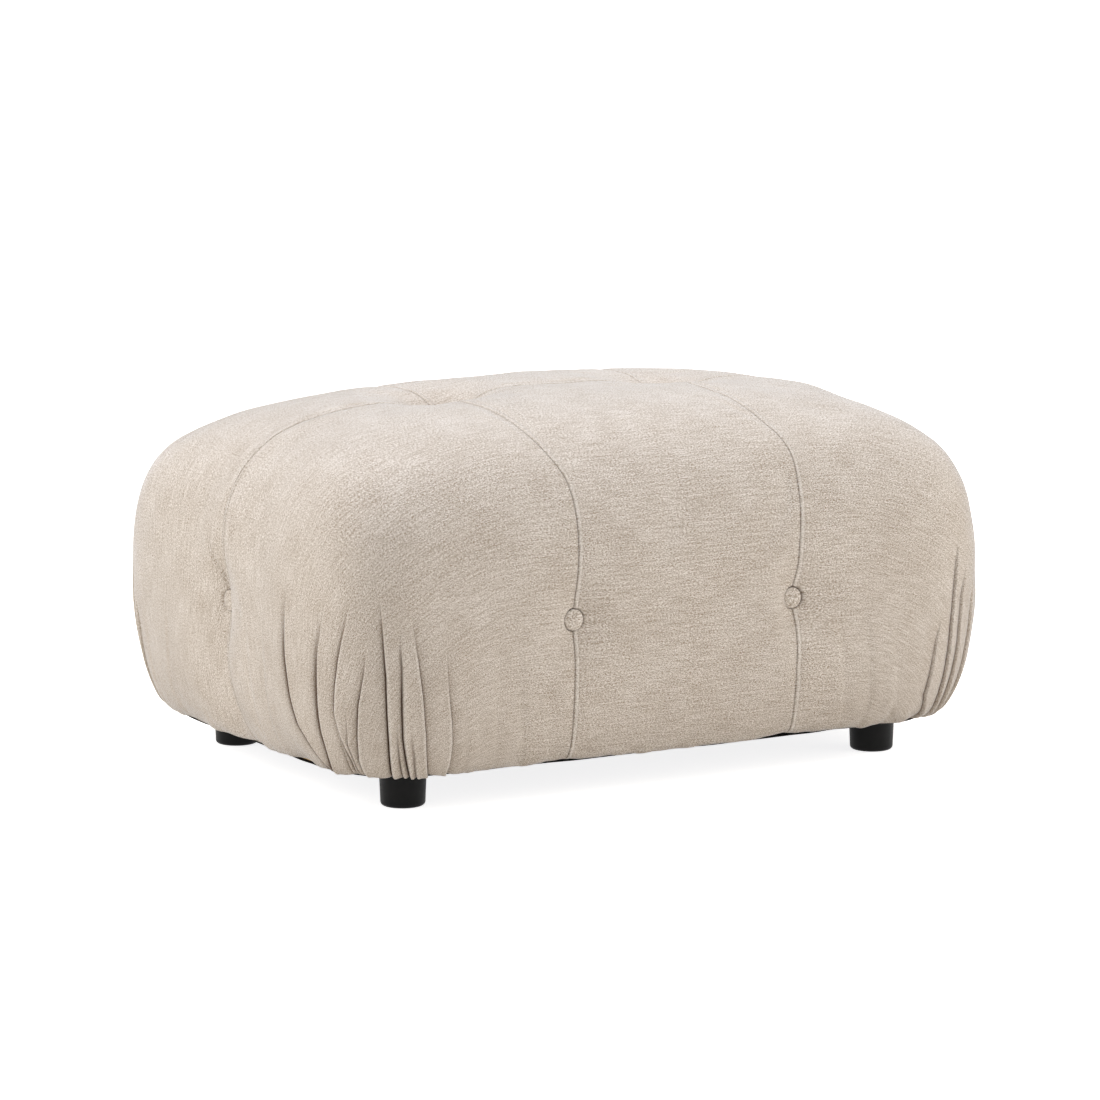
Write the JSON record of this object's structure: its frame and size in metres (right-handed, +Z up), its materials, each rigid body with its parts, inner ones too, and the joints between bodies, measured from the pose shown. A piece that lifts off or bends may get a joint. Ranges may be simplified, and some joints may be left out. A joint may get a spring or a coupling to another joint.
{
  "type": "pouf",
  "caption": "Low rectangular upholstered pouf with crowned sewn panels, button tufts, gathered corners and short round black feet.",
  "frame": {"origin": "on the floor, under the middle of the seat's footprint", "axes": "+X along the seat's length, to the right of the long side that the picture shows; +Y towards the other long side; +Z up"},
  "size_m": [0.867, 0.6174, 0.4264],
  "materials": {
    "cover_fabric": "matte oatmeal chenille weave with pale slubs",
    "button_fabric": "matte oatmeal chenille, drawn over the button",
    "foot_plastic": "satin black moulded plastic",
    "foam": "open-cell cut foam",
    "plywood": "sanded birch plywood",
    "softwood": "planed softwood",
    "webbing": "elastic woven webbing",
    "deck_cloth": "plain jute hessian",
    "dust_cloth": "thin black spun-bonded lining",
    "twine": "waxed upholstery twine",
    "zinc_steel": "zinc-plated steel"
  },
  "bodies": {
    "root": {"foot_front_left": "foot_plastic", "foot_front_right": "foot_plastic", "foot_back_left": "foot_plastic", "foot_back_right": "foot_plastic", "foot_bolts": "zinc_steel", "tee_nuts": "zinc_steel", "base_board": "plywood", "panel_front": "plywood", "panel_back": "plywood", "panel_left": "plywood", "panel_right": "plywood", "cleat_front": "softwood", "cleat_back": "softwood", "cleat_left": "softwood", "cleat_right": "softwood", "rail_front": "softwood", "rail_back": "softwood", "rail_left": "softwood", "rail_right": "softwood", "corner_blocks": "softwood", "cross_rail": "softwood", "webbing_long": "webbing", "webbing_cross": "webbing", "deck_cloth": "deck_cloth", "foam_front": "foam", "foam_back": "foam", "foam_left": "foam", "foam_right": "foam", "foam_top": "foam", "cover_front_left": "cover_fabric", "cover_front_middle": "cover_fabric", "cover_front_right": "cover_fabric", "cover_back_left": "cover_fabric", "cover_back_middle": "cover_fabric", "cover_back_right": "cover_fabric", "button_top_left": "button_fabric", "button_top_right": "button_fabric", "button_front_left": "button_fabric", "button_front_right": "button_fabric", "button_back_left": "button_fabric", "button_back_right": "button_fabric", "button_left": "button_fabric", "button_right": "button_fabric", "twines": "twine", "tie_washers": "zinc_steel", "tie_bars": "softwood", "dust_cover": "dust_cloth"}
  },
  "joints": []
}
